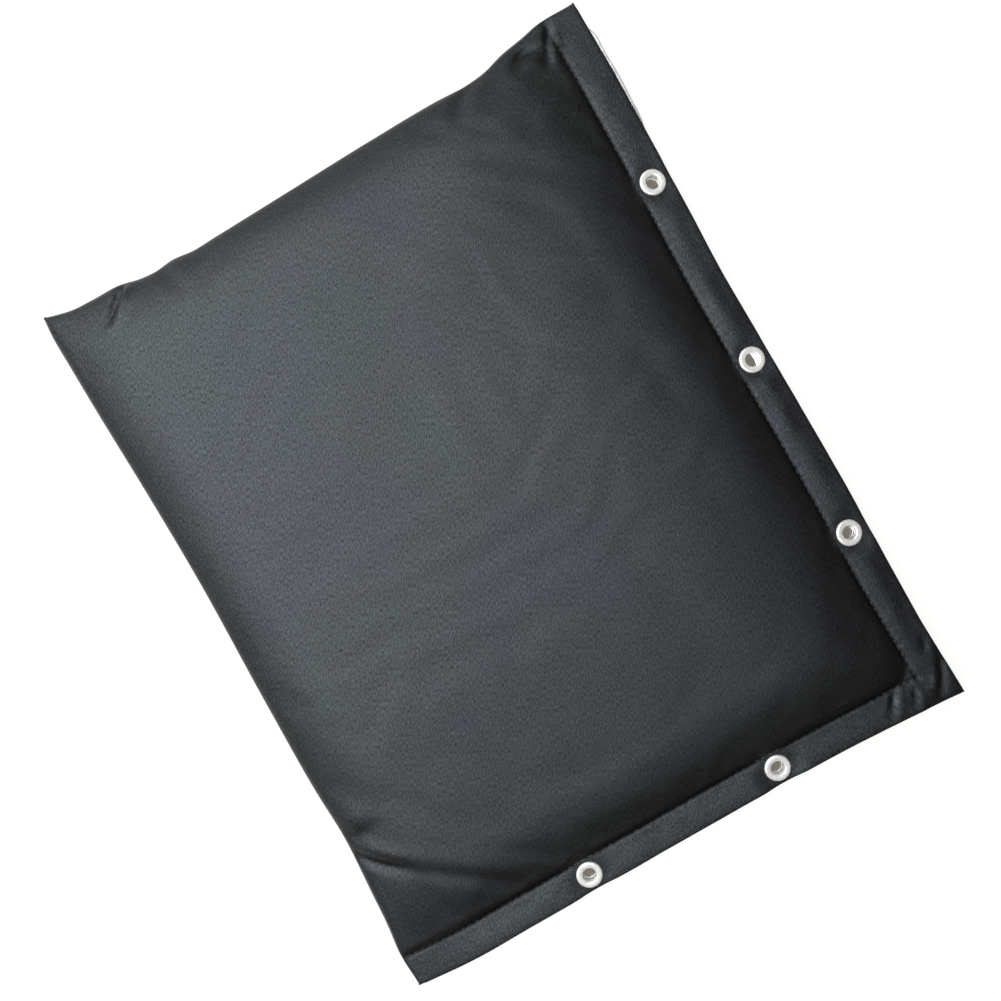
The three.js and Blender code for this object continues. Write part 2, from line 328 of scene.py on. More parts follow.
# The folds that show on the front panel: points in plan, depth, width and share of the ridge.
FRONT_FOLDS = [
    # The far side, from its pinched left corner to its right one.
    ([(-129, 207), (-136, 198), (-145, 189)], 4.2, 1.8, 0.6),
    ([(-110, 206), (-104, 196), (-101, 184)], 1.2, 3.5, 0.4),
    ([(-86, 206), (-80, 198)], 0.9, 3.0, 0.4),
    ([(98, 214), (88, 205), (80, 196)], 1.4, 4.0, 0.4),
    # The near left corner.
    ([(-173, -137), (-157, -153), (-146, -161)], 2.6, 3.2, 0.5),
    ([(-160, -150), (-130, -172), (-96, -197)], 0.8, 4.0, 0.6),
    # The field beside the side flange.
    ([(108, 28), (113, 4), (121, -24)], 0.45, 9.0, 0.3),
    # The left side, beyond the near left corner.
    ([(-171, -128), (-162, -133), (-150, -131)], 1.6, 5.0, 0.4),
    # The far right corner.
    ([(142, 211), (132, 212), (124, 208)], 2.0, 3.2, 0.6),
    ([(152, 219), (146, 208), (141, 199)], 1.4, 2.4, 0.4),
    # The near right corner of the flange.
    ([(165, -221), (172, -211), (177, -200)], 1.5, 1.9, 0.3),
    ([(174, -187), (169, -195)], 0.9, 1.4, 0.4),
    ([(143, -206), (139, -212), (134, -220)], 1.0, 1.9, 0.5),
    ([(153, -212), (150, -221)], 1.1, 1.4, 0.4),
]


def front_creases(px, py):
    return sum(crease(px, py, *fold) for fold in FRONT_FOLDS)


def padded_front(x, y):
    """The front cloth without its creases: a crown over the wadding, and the flanges round it."""
    px, py = plan(x, y)
    out = flange_depth(x, y)
    opened = openness(x, y)
    base = mix(seam_level(x, y, 1), FRONT_FLANGE_Z - FRONT_FLANGE_DIP, opened)
    # The side flange is a low ridge that falls away to its edge, and sags in two places.
    band = 1 + 0.4 * ripple(px, py, 30, 5.2)
    droop = 0.6 + 0.5 * bump((py + 8) / 50) + 0.4 * bump((py + 158) / 25)
    side_ridge = droop * (0.8 * band * bump((out - 9.5) / 6) - 0.0016 * out**2)
    # The near flange rises to its edge.
    near_rise = 0.95 * band * smooth(out / 15)
    flange = mix(near_rise, side_ridge, smooth((x - SIDE_STITCH + 12) / 20)) * smooth(out / 1.5)
    flange += (0.4 * ripple(px, py, 24, 1.7) + 0.25 * ripple(px, py, 9, 4.4)) * smooth(out / 8)
    flange *= opened
    # The turned edge stands up a little at the near end of the side opening.
    flange += 0.3 * bump((x - HALF_WIDTH + 1.5) / 0.7) * smooth((-100 - y) / 40)
    from_side = swell(SIDE_STITCH - x, 100, 40, 0.80)
    from_near = swell(y - NEAR_STITCH, 165, 42, mix(0.46, 0.28, smooth((x + 60) / 200)))
    full = rims_swell(x, y, 34) * soft_least(from_side, from_near)
    return base + FRONT_CROWN * full + flange


def front_height(x, y):
    """The front cloth's outer face."""
    px, py = plan(x, y)
    field = smooth(np.minimum(SIDE_STITCH - x, y - NEAR_STITCH) / 26)
    rims = clamp01(np.minimum(x + HALF_WIDTH, HALF_LENGTH - y) / 30)
    waves = (0.7 * ripple(px, py, 62, 3.1) + 0.3 * ripple(px, py, 27, 8.4)) * field * rims
    # The cloth is taut towards the near right corner of the field.
    calm = 1 - 0.85 * bump(np.hypot(px - 105, py + 115) / 65)
    z = padded_front(x, y) + (waves + front_wrinkles(x, y)) * calm
    z += stitch_marks(x, y, 2.0) + front_creases(px, py) * smooth(rims * 3 + 0.2)
    z = np.maximum(z, seam_level(x, y, 1) - 0.15)
    level = eyelet_plane(px, py, FRONT_FLANGE_Z - RING_DROP)
    return mix(z, level, near_eyelet(x, y, 7.8, 17))


def padded_back(x, y):
    """The back cloth's underside: flat where it lies on the ground, and lifted at its rims."""
    out = flange_depth(x, y)
    opened = openness(x, y)
    base = mix(seam_level(x, y, -1), BACK_FLANGE_Z, opened)
    full = rims_swell(x, y, 40) * puff((SIDE_STITCH - x) / 36) * puff((y - NEAR_STITCH) / 32)
    return base - (base - GROUND_GAP) * full - 0.105 * out * opened


def back_height(x, y):
    """The back cloth's outer face, which is its underside."""
    px, py = plan(x, y)
    out = flange_depth(x, y)
    waves = (0.7 * ripple(px, py, 31, 15.2) + 0.2 * ripple(px, py, 11, 11.7)) * out / 20
    z = padded_back(x, y) + waves * openness(x, y) - back_wrinkles(x, y) - stitch_marks(x, y, 12.0)
    z = np.minimum(z, seam_level(x, y, -1) + 0.15)
    level = eyelet_plane(px, py, BACK_FLANGE_Z - RING_DROP)
    return np.maximum(0.03, mix(z, level, near_eyelet(x, y, 7.8, 13.5)))


# ---- Cloth simulation ----------------------------------------------------------------------------

SIM_SPACING = 4.6
SIM_FRAMES = 24
WRINKLE_CAP = 1.6
WRINKLE_SHARE = 0.24


def resample(grid, xs, ys):
    """A smooth function (Catmull-Rom) through values on an even grid, 0 outside it."""
    padded = np.pad(grid, 2, mode="edge")

    def weights(t):
        return (
            0.5 * (-t + 2 * t**2 - t**3), 0.5 * (2 - 5 * t**2 + 3 * t**3),
            0.5 * (t + 4 * t**2 - 3 * t**3), 0.5 * (t**3 - t**2),
        )

    def follow(x, y):
        a = np.clip((x - xs[0]) / (xs[1] - xs[0]), 0, len(xs) - 1)
        b = np.clip((y - ys[0]) / (ys[1] - ys[0]), 0, len(ys) - 1)
        i, j = np.minimum(a.astype(int), len(xs) - 2), np.minimum(b.astype(int), len(ys) - 2)
        total = np.zeros_like(a)
        for m, wa in enumerate(weights(a - i)):
            for n, wb in enumerate(weights(b - j)):
                total += wa * wb * padded[i + m + 1, j + n + 1]
        inside = (x >= xs[0]) & (x <= xs[-1]) & (y >= ys[0]) & (y <= ys[-1])
        return np.where(inside, total, 0.0)

    return follow


def wrinkles(name, height, sign):
    """How far the outer cloth moves from a padded shape when it is simulated.

    The cloth is cut a little larger than the shape under it. It is held on its seams and stitch
    lines, the wadding holds the rest loosely, and the air in the wadding presses it outward. The
    coated cloth keeps only a share of those wrinkles."""
    xs = np.linspace(-HALF_WIDTH, SIDE_STITCH, round((HALF_WIDTH + SIDE_STITCH) / SIM_SPACING) + 1)
    ys = np.linspace(NEAR_STITCH, HALF_LENGTH, round((HALF_LENGTH - NEAR_STITCH) / SIM_SPACING) + 1)
    gx, gy = (g.ravel() for g in np.meshgrid(xs, ys, indexing="ij"))
    start = np.column_stack([*plan(gx, gy), sign * height(gx, gy)])
    rows = len(ys)
    corner = np.add.outer(np.arange(len(xs) - 1) * rows, np.arange(rows - 1)).ravel()
    faces = np.column_stack([corner, corner + rows, corner + rows + 1, corner + 1])
    piece = mesh_object(name, start, faces.tolist())
    inward = np.minimum.reduce([gx - xs[0], xs[-1] - gx, gy - ys[0], ys[-1] - gy])
    held = piece.vertex_groups.new(name="held")
    for i, distance in enumerate(inward):
        loose = 0.03 + 0.09 * smooth(np.array(distance) / 70)
        held.add([i], 1.0 if distance < 0.1 else float(loose), "REPLACE")
    cloth = piece.modifiers.new("cloth", "CLOTH")
    settings = cloth.settings
    settings.quality = 6
    settings.mass = 0.15
    settings.tension_stiffness = settings.compression_stiffness = 12
    settings.shear_stiffness = 5
    settings.bending_stiffness = 0.35
    settings.tension_damping = settings.compression_damping = 12
    settings.air_damping = 3
    settings.vertex_group_mass = "held"
    settings.pin_stiffness = 1.0
    settings.shrink_min = -0.006
    settings.use_pressure = True
    settings.uniform_pressure_force = 0.2
    settings.effector_weights.gravity = 0
    cloth.point_cache.frame_start, cloth.point_cache.frame_end = 1, SIM_FRAMES
    scene = bpy.context.scene
    for frame_number in range(1, SIM_FRAMES + 1):
        scene.frame_set(frame_number)
    settled = piece.evaluated_get(bpy.context.evaluated_depsgraph_get()).data
    end = np.zeros(len(gx) * 3, np.float32)
    settled.vertices.foreach_get("co", end)
    moved = (end.reshape(-1, 3)[:, 2] / MM - start[:, 2]).reshape(len(xs), rows)
    bpy.data.objects.remove(piece)
    scene.frame_set(1)
    return resample(WRINKLE_SHARE * np.clip(moved, -WRINKLE_CAP, WRINKLE_CAP), xs, ys)


# ---- Meshes --------------------------------------------------------------------------------------


def steps(*stops):
    """Grid lines from (from, to, spacing) stretches."""
    lines = []
    for low, high, spacing in stops:
        count = max(1, round((high - low) / spacing))
        lines += list(np.linspace(low, high, count + 1))
    return sorted(set(round(v, 4) for v in lines))


def pattern_grid(xs, ys):
    """A flat bmesh over the grid lines, in the cutting pattern's coordinates."""
    bm = bmesh.new()
    rows = [[bm.verts.new((x, y, 0)) for y in ys] for x in xs]
    for low, high in zip(rows, rows[1:]):
        for a, b, c, d in zip(low, high, high[1:], low[1:]):
            bm.faces.new((a, b, c, d))
    return bm


def refine(bm, test):
    """Splits the faces whose middles pass the test."""
    faces = [f for f in bm.faces if test(*f.calc_center_median().xy)]
    edges = list(dict.fromkeys(e for f in faces for e in f.edges))
    bmesh.ops.subdivide_edges(bm, edges=edges, cuts=1, use_grid_fill=True)


def cut_eyelets(bm, spacing):
    """Opens a round hole at each eyelet in a grid of the given spacing there."""
    for ex, ey in EYELET_PATTERN:
        refine(bm, lambda x, y: math.hypot(x - ex, y - ey) < HOLE_RADIUS + 2.5)
        inside = [v for v in bm.verts if math.hypot(v.co.x - ex, v.co.y - ey) < HOLE_RADIUS]
        bmesh.ops.delete(bm, geom=inside, context="VERTS")
        for v in bm.verts:
            r = math.hypot(v.co.x - ex, v.co.y - ey)
            if r < HOLE_RADIUS + spacing and v.is_boundary:
                v.co.x = ex + (v.co.x - ex) * HOLE_RADIUS / r
                v.co.y = ey + (v.co.y - ey) * HOLE_RADIUS / r


def close_to_stitching(reach):
    def test(x, y):
        side = abs(x - SIDE_STITCH) < reach and y > NEAR_STITCH - reach
        near = abs(y - NEAR_STITCH) < reach and x < SIDE_STITCH + reach
        return side or near

    return test


def mesh_object(name, points, faces):
    mesh = bpy.data.meshes.new(name)
    mesh.from_pydata([tuple(p) for p in np.asarray(points) * MM], [], faces)
    mesh.validate()
    mesh.update()
    mesh.shade_smooth()
    piece = bpy.data.objects.new(name, mesh)
    bpy.context.scene.collection.objects.link(piece)
    return piece


def cloth_piece(name, bm, place):
    """A piece from a flat bmesh: place(x, y) gives its points, and the pattern is its UVs."""
    bm.verts.ensure_lookup_table()
    bm.verts.index_update()
    flat = np.array([v.co[:2] for v in bm.verts])
    faces = [[v.index for v in f.verts] for f in bm.faces]
    bm.free()
    piece = mesh_object(name, np.column_stack(place(flat[:, 0], flat[:, 1])), faces)
    uv = piece.data.uv_layers.new(name="pattern")
    corners = np.zeros(len(piece.data.loops), int)
    piece.data.loops.foreach_get("vertex_index", corners)
    uv.data.foreach_set("uv", (flat[corners] * MM).astype(np.float32).ravel())
    return piece


def thicken(piece, thickness):
    """Gives a surface a thickness, on its inner side."""
    solidify = piece.modifiers.new("thickness", "SOLIDIFY")
    solidify.thickness = thickness * MM
    solidify.offset = -1.0
    solidify.use_even_offset = False
    apply_modifiers(piece)


def apply_modifiers(piece):
    graph = bpy.context.evaluated_depsgraph_get()
    done = bpy.data.meshes.new_from_object(piece.evaluated_get(graph))
    piece.modifiers.clear()
    old = piece.data
    piece.data = done
    bpy.data.meshes.remove(old)
    piece.data.name = piece.name


# How far the back panel shows past the front one along the side opening.
peek = curve([
    (-230, 1.3), (-205, 1.4), (-180, 1.1), (-162, 0.5), (-140, 0.0), (-100, 0.0), (230, 0.0),
])


def rolled_edge(x, y, height, sign):
    """Points of an outer cloth whose pattern runs past its edges.

    It goes round the open edges and in at the rims. sign is 1 for the front panel and -1 for the
    back one."""
    ix = np.clip(x, -HALF_WIDTH, HALF_WIDTH)
    iy = np.clip(y, -HALF_LENGTH, HALF_LENGTH)
    px, py = plan(ix, iy)
    if sign > 0:
        px = px - peek(py) * smooth((x - HALF_WIDTH + 9) / 9)
    z = height(ix, iy)
    drop = np.zeros_like(z)
    # The roll thins out where an open edge runs into a seam.
    ends = ((x - ix, 1, HALF_LENGTH - iy), (iy - y, -1, HALF_WIDTH + ix))
    for past, direction, from_seam in ends:
        past = np.maximum(0, past)
        angle = np.minimum(past / EDGE_ROLL, math.pi)
        thin = 0.3 + 0.7 * smooth(from_seam / 6)
        out = thin * (EDGE_ROLL * np.sin(angle) - np.maximum(0, past - math.pi * EDGE_ROLL))
        drop = np.maximum(drop, thin * EDGE_ROLL * (1 - np.cos(angle)))
        if direction > 0:
            px = px + out
        else:
            py = py - out
    px = px + np.maximum(0, ix - x)
    py = py - np.maximum(0, y - iy)
    return px, py, z - sign * drop


def outer_cloth(name, height, sign, nodes):
    roll = math.pi * EDGE_ROLL + EDGE_UNDER
    xs = steps(
        (-HALF_WIDTH - RIM_TUCK, -HALF_WIDTH, 0.8),
        (-HALF_WIDTH, -HALF_WIDTH + 10, 1.2),
        (-HALF_WIDTH + 10, SIDE_STITCH - 20, 2.5),
        (SIDE_STITCH - 20, HALF_WIDTH, 2.4),
        (HALF_WIDTH, HALF_WIDTH + roll, 0.45),
    )
    ys = steps(
        (-HALF_LENGTH - roll, -HALF_LENGTH, 0.45),
        (-HALF_LENGTH, NEAR_STITCH + 20, 2.4),
        (NEAR_STITCH + 20, HALF_LENGTH - 10, 2.5),
        (HALF_LENGTH - 10, HALF_LENGTH, 1.2),
        (HALF_LENGTH, HALF_LENGTH + RIM_TUCK, 0.8),
    )
    bm = pattern_grid(xs, ys)
    refine(bm, close_to_stitching(9))
    cut_eyelets(bm, 1.2)
    if sign < 0:
        bmesh.ops.reverse_faces(bm, faces=bm.faces)
    piece = cloth_piece(name, bm, lambda x, y: rolled_edge(x, y, height, sign))
    thicken(piece, CLOTH_THICKNESS)
    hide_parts(*nodes)
    return piece


# How far the front lining creeps out past the cloth's rolled edge, along the side opening.
lining_creep = curve([
    (-230, -LINING_INSET), (128, -LINING_INSET), (139, 0.4), (147, 1.9), (160, 2.3), (176, 2.7),
    (192, 2.3), (203, 2.6), (209, 0.6), (214, -LINING_INSET), (226, -LINING_INSET),
])


def lowest(height, x, y, reach):
    """The lowest that a height function gets within reach of each point."""
    around = [(0, 0), (reach, 0), (-reach, 0), (0, reach), (0, -reach)]
    return np.minimum.reduce([height(x + dx, y + dy) for dx, dy in around])


def front_lining_height(x, y):
    """The front lining's face towards the wadding."""
    px, py = plan(x, y)
    opened = openness(x, y)
    level = mix(SEAM_Z + 0.9, FRONT_LINING_Z, opened)
    under = np.minimum(level, lowest(front_height, x, y, 1.6) - mix(0.5, 1.3, opened))
    field = smooth(np.minimum(SIDE_STITCH - x, y - NEAR_STITCH) / 20)
    sag = 0.7 + 0.7 * ripple(px, py, 17, 31.0) + 0.35 * ripple(px, py, 7, 32.0)
    return under - field * opened * sag


def back_lining_height(x, y):
    """The back lining's face towards the wadding."""
    px, py = plan(x, y)
    opened = openness(x, y)
    level = mix(SEAM_Z - 0.9, BACK_LINING_Z, opened)
    above = np.maximum(level, back_height(x, y) + mix(0.55, 1.35, opened))
    field = smooth(np.minimum(SIDE_STITCH - x, y - NEAR_STITCH) / 20)
    rise = 0.5 * ripple(px, py, 17, 41.0) + 0.3 * ripple(px, py, 7, 42.0)
    return above + field * opened * rise


def lining_piece(name, height, creep, sign, nodes):
    """A lining inside its panel. creep(py) is how far it runs past the pattern's side edge."""
    xs = steps(
        (-HALF_WIDTH + LINING_RIM, SIDE_STITCH - 4, 3.6),
        (SIDE_STITCH - 4, HALF_WIDTH - 4, 2.4),
        (HALF_WIDTH - 4, HALF_WIDTH, 1),
    )
    ys = steps(
        (-HALF_LENGTH, -HALF_LENGTH + 4, 1),
        (-HALF_LENGTH + 4, NEAR_STITCH + 4, 2.4),
        (NEAR_STITCH + 4, HALF_LENGTH - LINING_RIM, 3.6),
    )
    bm = pattern_grid(xs, ys)
    cut_eyelets(bm, 2.4)
    if sign < 0:
        bmesh.ops.reverse_faces(bm, faces=bm.faces)

    def place(x, y):
        px, py = plan(x, y)
        px = px + creep(py) * smooth((x - HALF_WIDTH + 12) / 12)
        py = py + LINING_INSET * smooth((12 - HALF_LENGTH - y) / 12)
        return px, py, height(x, y)

    piece = cloth_piece(name, bm, place)
    thicken(piece, LINING_THICKNESS)
    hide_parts(*nodes)
    return piece


def wadding_piece(name, bottom, top, nodes):
    """A closed pad between two height functions, rounded off at its rim."""
    xs = steps((-HALF_WIDTH + 8, SIDE_STITCH - 3, 5))
    ys = steps((NEAR_STITCH + 3, HALF_LENGTH - 8, 5))
    gx, gy = (g.ravel() for g in np.meshgrid(xs, ys, indexing="ij"))
    edge = np.minimum.reduce([gx - xs[0], xs[-1] - gx, gy - ys[0], ys[-1] - gy])
    fullness = 0.25 + 0.75 * puff(edge / 7)
    low = bottom(gx, gy)
    high = np.maximum(top(gx, gy), low + 0.05)
    middle = (low + high) / 2
    px, py = plan(gx, gy)
    upper = np.column_stack([px, py, middle + (high - middle) * fullness])
    lower = np.column_stack([px, py, middle + (low - middle) * fullness])
    rows, count = len(ys), len(gx)
    faces = []
    for i in range(len(xs) - 1):
        for j in range(rows - 1):
            a, b = i * rows + j, (i + 1) * rows + j
            faces.append((a, b, b + 1, a + 1))
            faces.append((a + count, a + 1 + count, b + 1 + count, b + count))
    ring = [i * rows for i in range(len(xs))]
    ring += [(len(xs) - 1) * rows + j for j in range(1, rows)]
    ring += [i * rows + rows - 1 for i in range(len(xs) - 2, -1, -1)]
    ring += list(range(rows - 2, 0, -1))
    for a, b in zip(ring, ring[1:] + ring[:1]):
        faces.append((a, a + count, b + count, b))
    piece = mesh_object(name, np.vstack([upper, lower]), faces)
    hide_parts(*nodes)
    return piece


# ---- Stitches ------------------------------------------------------------------------------------

STITCH_LENGTH = 3.5
THREAD_RADIUS = 0.27
STITCH_SIDES = 6
STITCH_RINGS = 7


def stitch_row(start, end):
    """Middle lines of the stitches between two pattern points: (stitch, point, xy)."""
    start, end = np.array(start, float), np.array(end, float)
    length = np.linalg.norm(end - start)
    count = int(length // STITCH_PITCH)
    t = np.linspace(-0.5, 0.5, STITCH_RINGS) * STITCH_LENGTH
    middles = (np.arange(count) + 0.5) * STITCH_PITCH + (length - count * STITCH_PITCH) / 2
    return start + (middles[:, None] + t)[..., None] * (end - start) / length


def stitches(name, rows, nodes):
    """Separate stitches whose ends dive into the cloth.

    rows holds (middle lines, height function, side), where side is 1 on top and -1 below."""
    points, faces = [], []
    for lines, height, side in rows:
        flat = lines.reshape(-1, 2)
        wander = 0.12 * ripple(flat[:, 0], flat[:, 1], 5, 61.0)
        across = lines[0, -1] - lines[0, 0]
        across = np.array([-across[1], across[0]]) / np.linalg.norm(across)
        flat = flat + wander[:, None] * across
        px, py = plan(flat[:, 0], flat[:, 1])
        z = height(flat[:, 0], flat[:, 1])
        centre = np.column_stack([px, py, z]).reshape(len(lines), STITCH_RINGS, 3)
        t = np.linspace(-1, 1, STITCH_RINGS)
        chord = centre[:, :1, 2] + (centre[:, -1:, 2] - centre[:, :1, 2]) * (t + 1) / 2
        lift = 0.55 * THREAD_RADIUS - 0.75 * np.abs(t) ** 4
        centre[:, :, 2] = 0.4 * centre[:, :, 2] + 0.6 * chord + side * lift
        radii = THREAD_RADIUS * (1 - 0.5 * np.abs(t) ** 6)
        for line in centre:
            run = line[-1] - line[0]
            run /= np.linalg.norm(run)
            first = np.cross(run, (0, 0, 1))
            second = np.cross(first, run)
            base = len(points)
            for at, radius in zip(line, radii):
                for k in range(STITCH_SIDES):
                    a = 2 * math.pi * k / STITCH_SIDES
                    points.append(at + radius * (math.cos(a) * first + math.sin(a) * second))
            for r in range(STITCH_RINGS - 1):
                for k in range(STITCH_SIDES):
                    m = (k + 1) % STITCH_SIDES
                    a, b = base + r * STITCH_SIDES, base + (r + 1) * STITCH_SIDES
                    faces.append((a + k, a + m, b + m, b + k))
            faces.append([base + k for k in reversed(range(STITCH_SIDES))])
            last = base + (STITCH_RINGS - 1) * STITCH_SIDES
            faces.append([last + k for k in range(STITCH_SIDES)])
    piece = mesh_object(name, np.array(points), faces)
    piece.data.materials.append(THREAD)
    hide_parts(*nodes)
    return piece


# ---- Materials -----------------------------------------------------------------------------------

YARN_PITCH = 0.55
TWILL_ANGLE = math.radians(28.7)


def new_material(name):
    material = bpy.data.materials.new(name)
    material.use_nodes = True
    nodes = material.node_tree.nodes
    nodes.clear()
    output = nodes.new("ShaderNodeOutputMaterial")
    shader = nodes.new("ShaderNodeBsdfPrincipled")
    material.node_tree.links.new(shader.outputs[0], output.inputs[0])
    return material, shader


def link(material, source, target):
    material.node_tree.links.new(source, target)


def add_node(material, kind, **settings):
    node = material.node_tree.nodes.new(kind)
    for key, value in settings.items():
        if key in node.inputs:
            node.inputs[key].default_value = value
        else:
            setattr(node, key, value)
    return node


def maths(material, operation, *values):
    node = add_node(material, "ShaderNodeMath", operation=operation)
    for socket, value in zip(node.inputs, values):
        if isinstance(value, (int, float)):
            socket.default_value = value
        else:
            link(material, value, socket)
    return node.outputs[0]


def noise_of(material, vector, scale, detail, roughness):
    node = add_node(material, "ShaderNodeTexNoise", Scale=scale, Detail=detail, Roughness=roughness)
    link(material, vector, node.inputs["Vector"])
    return node.outputs["Fac"]


def ramp(material, fac, stops):
    node = add_node(material, "ShaderNodeValToRGB")
    elements = node.color_ramp.elements
    while len(elements) < len(stops):
        elements.new(0.5)
    for element, (position, colour) in zip(elements, stops):
        element.position = position
        element.color = (*colour, 1)
    link(material, fac, node.inputs[0])
    return node.outputs[0]


def bump_of(material, height, strength, distance):
    node = add_node(material, "ShaderNodeBump", Strength=strength, Distance=distance)
    link(material, height, node.inputs["Height"])
    return node.outputs[0]


def place_of(material):
    """A point's place on its object, in metres."""
    return add_node(material, "ShaderNodeTexCoord").outputs["Object"]


def oxford_cloth():
    """Coated black weave: yarns with a steep twill to them, and a broad blue-grey gloss."""
    material, shader = new_material("oxford_cloth")
    uv = add_node(material, "ShaderNodeUVMap", uv_map="pattern").outputs[0]
    split = add_node(material, "ShaderNodeSeparateXYZ")
    link(material, uv, split.inputs[0])
    yarn = 2 * math.pi / (YARN_PITCH * MM)
    warp = maths(material, "SINE", maths(material, "MULTIPLY", split.outputs[0], yarn))
    weft = maths(material, "SINE", maths(material, "MULTIPLY", split.outputs[1], yarn))
    weave = maths(material, "MULTIPLY", warp, weft)
    turned_uv = add_node(material, "ShaderNodeMapping", Rotation=(0, 0, TWILL_ANGLE))
    link(material, uv, turned_uv.inputs["Vector"])
    twill = add_node(material, "ShaderNodeMapping", Scale=(1.0, 0.3, 1.0))
    link(material, turned_uv.outputs[0], twill.inputs["Vector"])
    floats = noise_of(material, twill.outputs[0], 1500, 2, 0.6)
    slub = noise_of(material, uv, 1300, 3, 0.6)
    cloud = noise_of(material, uv, 8, 4, 0.6)
    grain = maths(
        material, "ADD",
        maths(material, "MULTIPLY", floats, 1.3), maths(material, "MULTIPLY", slub, 0.7),
    )
    relief = maths(material, "ADD", maths(material, "MULTIPLY", weave, 0.3), grain)
    normal = bump_of(material, relief, 0.6, 0.16 * MM)
    tone = maths(material, "ADD", maths(material, "MULTIPLY", weave, 0.1), grain)
    colour = ramp(material, maths(material, "SUBTRACT", tone, 0.5), [
        (0.2, (0.0016, 0.0012, 0.0011)),
        (0.5, (0.0033, 0.0026, 0.0024)),
        (0.85, (0.007, 0.006, 0.0058)),
    ])
    link(material, colour, shader.inputs["Base Color"])
    tint = ramp(material, cloud, [(0.35, (0.76, 0.90, 0.95)), (0.65, (0.76, 0.86, 1.0))])
    link(material, tint, shader.inputs["Specular Tint"])
    gloss = maths(material, "MULTIPLY_ADD", grain, -1.1, 1.62)
    link(material, gloss, shader.inputs["Specular IOR Level"])
    rough = maths(material, "ADD", maths(material, "MULTIPLY", slub, 0.1), 0.33)
    link(material, rough, shader.inputs["Roughness"])
    link(material, normal, shader.inputs["Normal"])
    return material


def nickel():
    material, shader = new_material("nickel")
    place = place_of(material)
    scuff = noise_of(material, place, 450, 3, 0.55)
    colour = ramp(material, scuff, [(0.3, (0.92, 0.91, 0.89)), (0.7, (0.98, 0.975, 0.96))])
    link(material, colour, shader.inputs["Base Color"])
    shader.inputs["Metallic"].default_value = 0.5
    rough = maths(material, "ADD", maths(material, "MULTIPLY", scuff, 0.16), 0.2)
    link(material, rough, shader.inputs["Roughness"])
    link(material, bump_of(material, scuff, 0.1, 0.04 * MM), shader.inputs["Normal"])
    return material


def thread():
    material, shader = new_material("thread")
    place = place_of(material)
    fibre = noise_of(material, place, 2600, 3, 0.7)
    colour = ramp(material, fibre, [(0.3, (0.006, 0.0065, 0.007)), (0.7, (0.022, 0.023, 0.026))])
    link(material, colour, shader.inputs["Base Color"])
    shader.inputs["Roughness"].default_value = 0.62
    shader.inputs["Sheen Weight"].default_value = 0.2
    link(material, bump_of(material, fibre, 0.6, 0.08 * MM), shader.inputs["Normal"])
    return material


def foil():
    """Silver metallised film on cloth: crumpled into small flat facets."""
    material, shader = new_material("foil_lining")
    uv = add_node(material, "ShaderNodeUVMap", uv_map="pattern").outputs[0]
    facets = add_node(material, "ShaderNodeTexVoronoi", Scale=140.0, Randomness=1.0)
    link(material, uv, facets.inputs["Vector"])
    creases = noise_of(material, uv, 260, 5, 0.62)
    crumple = maths(material, "MULTIPLY", creases, 1.2)
    relief = maths(material, "ADD", facets.outputs["Distance"], crumple)
    colour = ramp(material, creases, [(0.3, (0.80, 0.81, 0.82)), (0.7, (0.94, 0.95, 0.95))])
    link(material, colour, shader.inputs["Base Color"])
    shader.inputs["Metallic"].default_value = 0.45
    rough = maths(material, "ADD", maths(material, "MULTIPLY", creases, 0.25), 0.25)
    link(material, rough, shader.inputs["Roughness"])
    link(material, bump_of(material, relief, 0.55, 0.7 * MM), shader.inputs["Normal"])
    return material


def wadding():
    material, shader = new_material("wadding")
    place = place_of(material)
    fibre = noise_of(material, place, 420, 6, 0.75)
    colour = ramp(material, fibre, [(0.3, (0.62, 0.60, 0.55)), (0.7, (0.86, 0.85, 0.81))])
    link(material, colour, shader.inputs["Base Color"])
    shader.inputs["Roughness"].default_value = 0.95
    shader.inputs["Sheen Weight"].default_value = 0.4
    link(material, bump_of(material, fibre, 0.8, 0.8 * MM), shader.inputs["Normal"])
    return material


CLOTH = oxford_cloth()
NICKEL = nickel()
THREAD = thread()
FOIL = foil()
WADDING = wadding()

# ---- Panels --------------------------------------------------------------------------------------

front_wrinkles = wrinkles("front_sim", padded_front, 1)
back_wrinkles = wrinkles("back_sim", padded_back, -1)

front_cloth = outer_cloth(
    "front_cloth", front_height, 1, ["front_shell_sewn_side", "front_shell_free_corner"]
)
back_cloth = outer_cloth("back_cloth", back_height, -1, ["back_shell"])
for piece in (front_cloth, back_cloth):
    piece.data.materials.append(CLOTH)

front_lining = lining_piece(
    "front_lining", front_lining_height, lining_creep, 1,
    ["front_lining_sewn_side", "front_lining_free_corner"],
)
back_lining = lining_piece(
    "back_lining_foil", back_lining_height, lambda py: -LINING_INSET, -1, ["back_lining"]
)
for piece in (front_lining, back_lining):
    piece.data.materials.append(FOIL)

front_wadding = wadding_piece(
    "front_wadding",
    lambda x, y: front_lining_height(x, y) + WADDING_GAP,
    lambda x, y: lowest(front_height, x, y, 3) - CLOTH_THICKNESS - WADDING_GAP,
    ["front_batting_sewn_side", "front_batting_free_corner"],
)
back_wadding = wadding_piece(
    "back_wadding",
    lambda x, y: back_height(x, y) + CLOTH_THICKNESS + WADDING_GAP,
    lambda x, y: back_lining_height(x, y) - LINING_THICKNESS - WADDING_GAP,
    ["back_batting"],
)
for piece in (front_wadding, back_wadding):
    piece.data.materials.append(WADDING)

side_row = stitch_row((SIDE_STITCH, NEAR_STITCH), (SIDE_STITCH, HALF_LENGTH - 1))
near_row = stitch_row((-HALF_WIDTH + 1, NEAR_STITCH), (SIDE_STITCH, NEAR_STITCH))


def topstitching(panel, edge, row, outer, inner, side, nodes):
    return stitches(f"{panel}_{edge}_stitches", [(row, outer, side), (row, inner, -side)], nodes)


